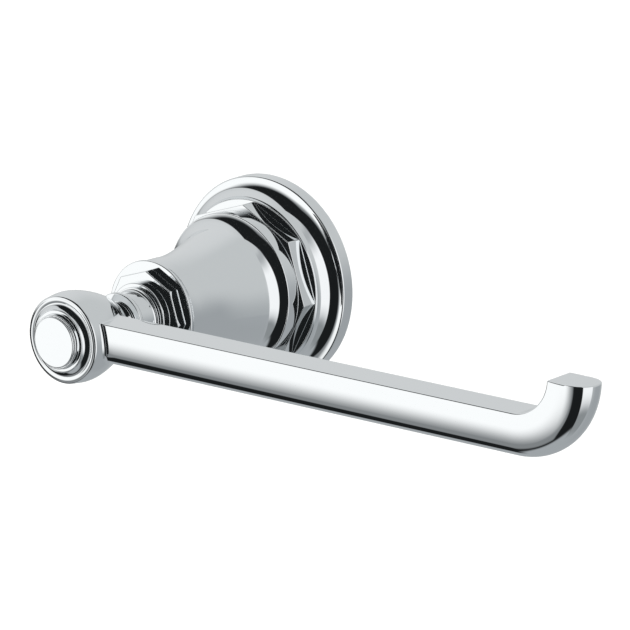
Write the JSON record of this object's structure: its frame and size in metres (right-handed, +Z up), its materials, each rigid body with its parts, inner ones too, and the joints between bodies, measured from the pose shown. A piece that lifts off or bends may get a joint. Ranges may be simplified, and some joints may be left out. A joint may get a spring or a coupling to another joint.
{
  "type": "toilet paper holder",
  "caption": "Wall-mounted toilet paper holder: round flange, octagonal collar, bell-shaped post with stepped round knob, and a single side arm with an upturned end.",
  "frame": {"origin": "centre of the wall bracket's back face, on the wall, on the post's axis", "axes": "+X along the arm, to the right seen from the room; +Z up; the wall is the plane Y = 0 and the post stands out along -Y into the room"},
  "size_m": [0.191, 0.0874, 0.0576],
  "materials": {
    "chrome_turned": "mirror-polished chrome plate on turned brass",
    "chrome_milled": "mirror-polished chrome plate on milled brass",
    "chrome_arm": "mirror-polished chrome plate on a cast brass arm",
    "zinc_bracket": "zinc-plated, dull",
    "steel_hardware": "bright zinc-plated steel"
  },
  "bodies": {
    "bracket": {"wall_bracket": "zinc_bracket", "locating_pin": "steel_hardware"},
    "holder": {"flange": "chrome_turned", "octagon_collar": "chrome_milled", "collar_ring": "chrome_turned", "bell": "chrome_turned", "neck_octagon": "chrome_milled", "neck_ring": "chrome_turned", "neck_spool": "chrome_turned", "neck_collar": "chrome_turned", "knob_body": "chrome_turned", "knob_bezel": "chrome_turned", "knob_cap": "chrome_turned", "arm": "chrome_arm", "arm_lock_screw": "steel_hardware", "tie_rod": "steel_hardware", "back_nut": "steel_hardware", "lock_washer": "steel_hardware", "flat_washer": "steel_hardware"},
    "set_screw": {"set_screw": "steel_hardware"}
  },
  "joints": [
    {"name": "holder_lift_off", "type": "slide", "parent": "bracket", "child": "holder", "axis": [0, -1, 0], "range_m": [0, 0.03]},
    {"name": "set_screw_travel", "type": "slide", "parent": "holder", "child": "set_screw", "axis": [0, 0, -1], "range_m": [0, 0.003]}
  ]
}
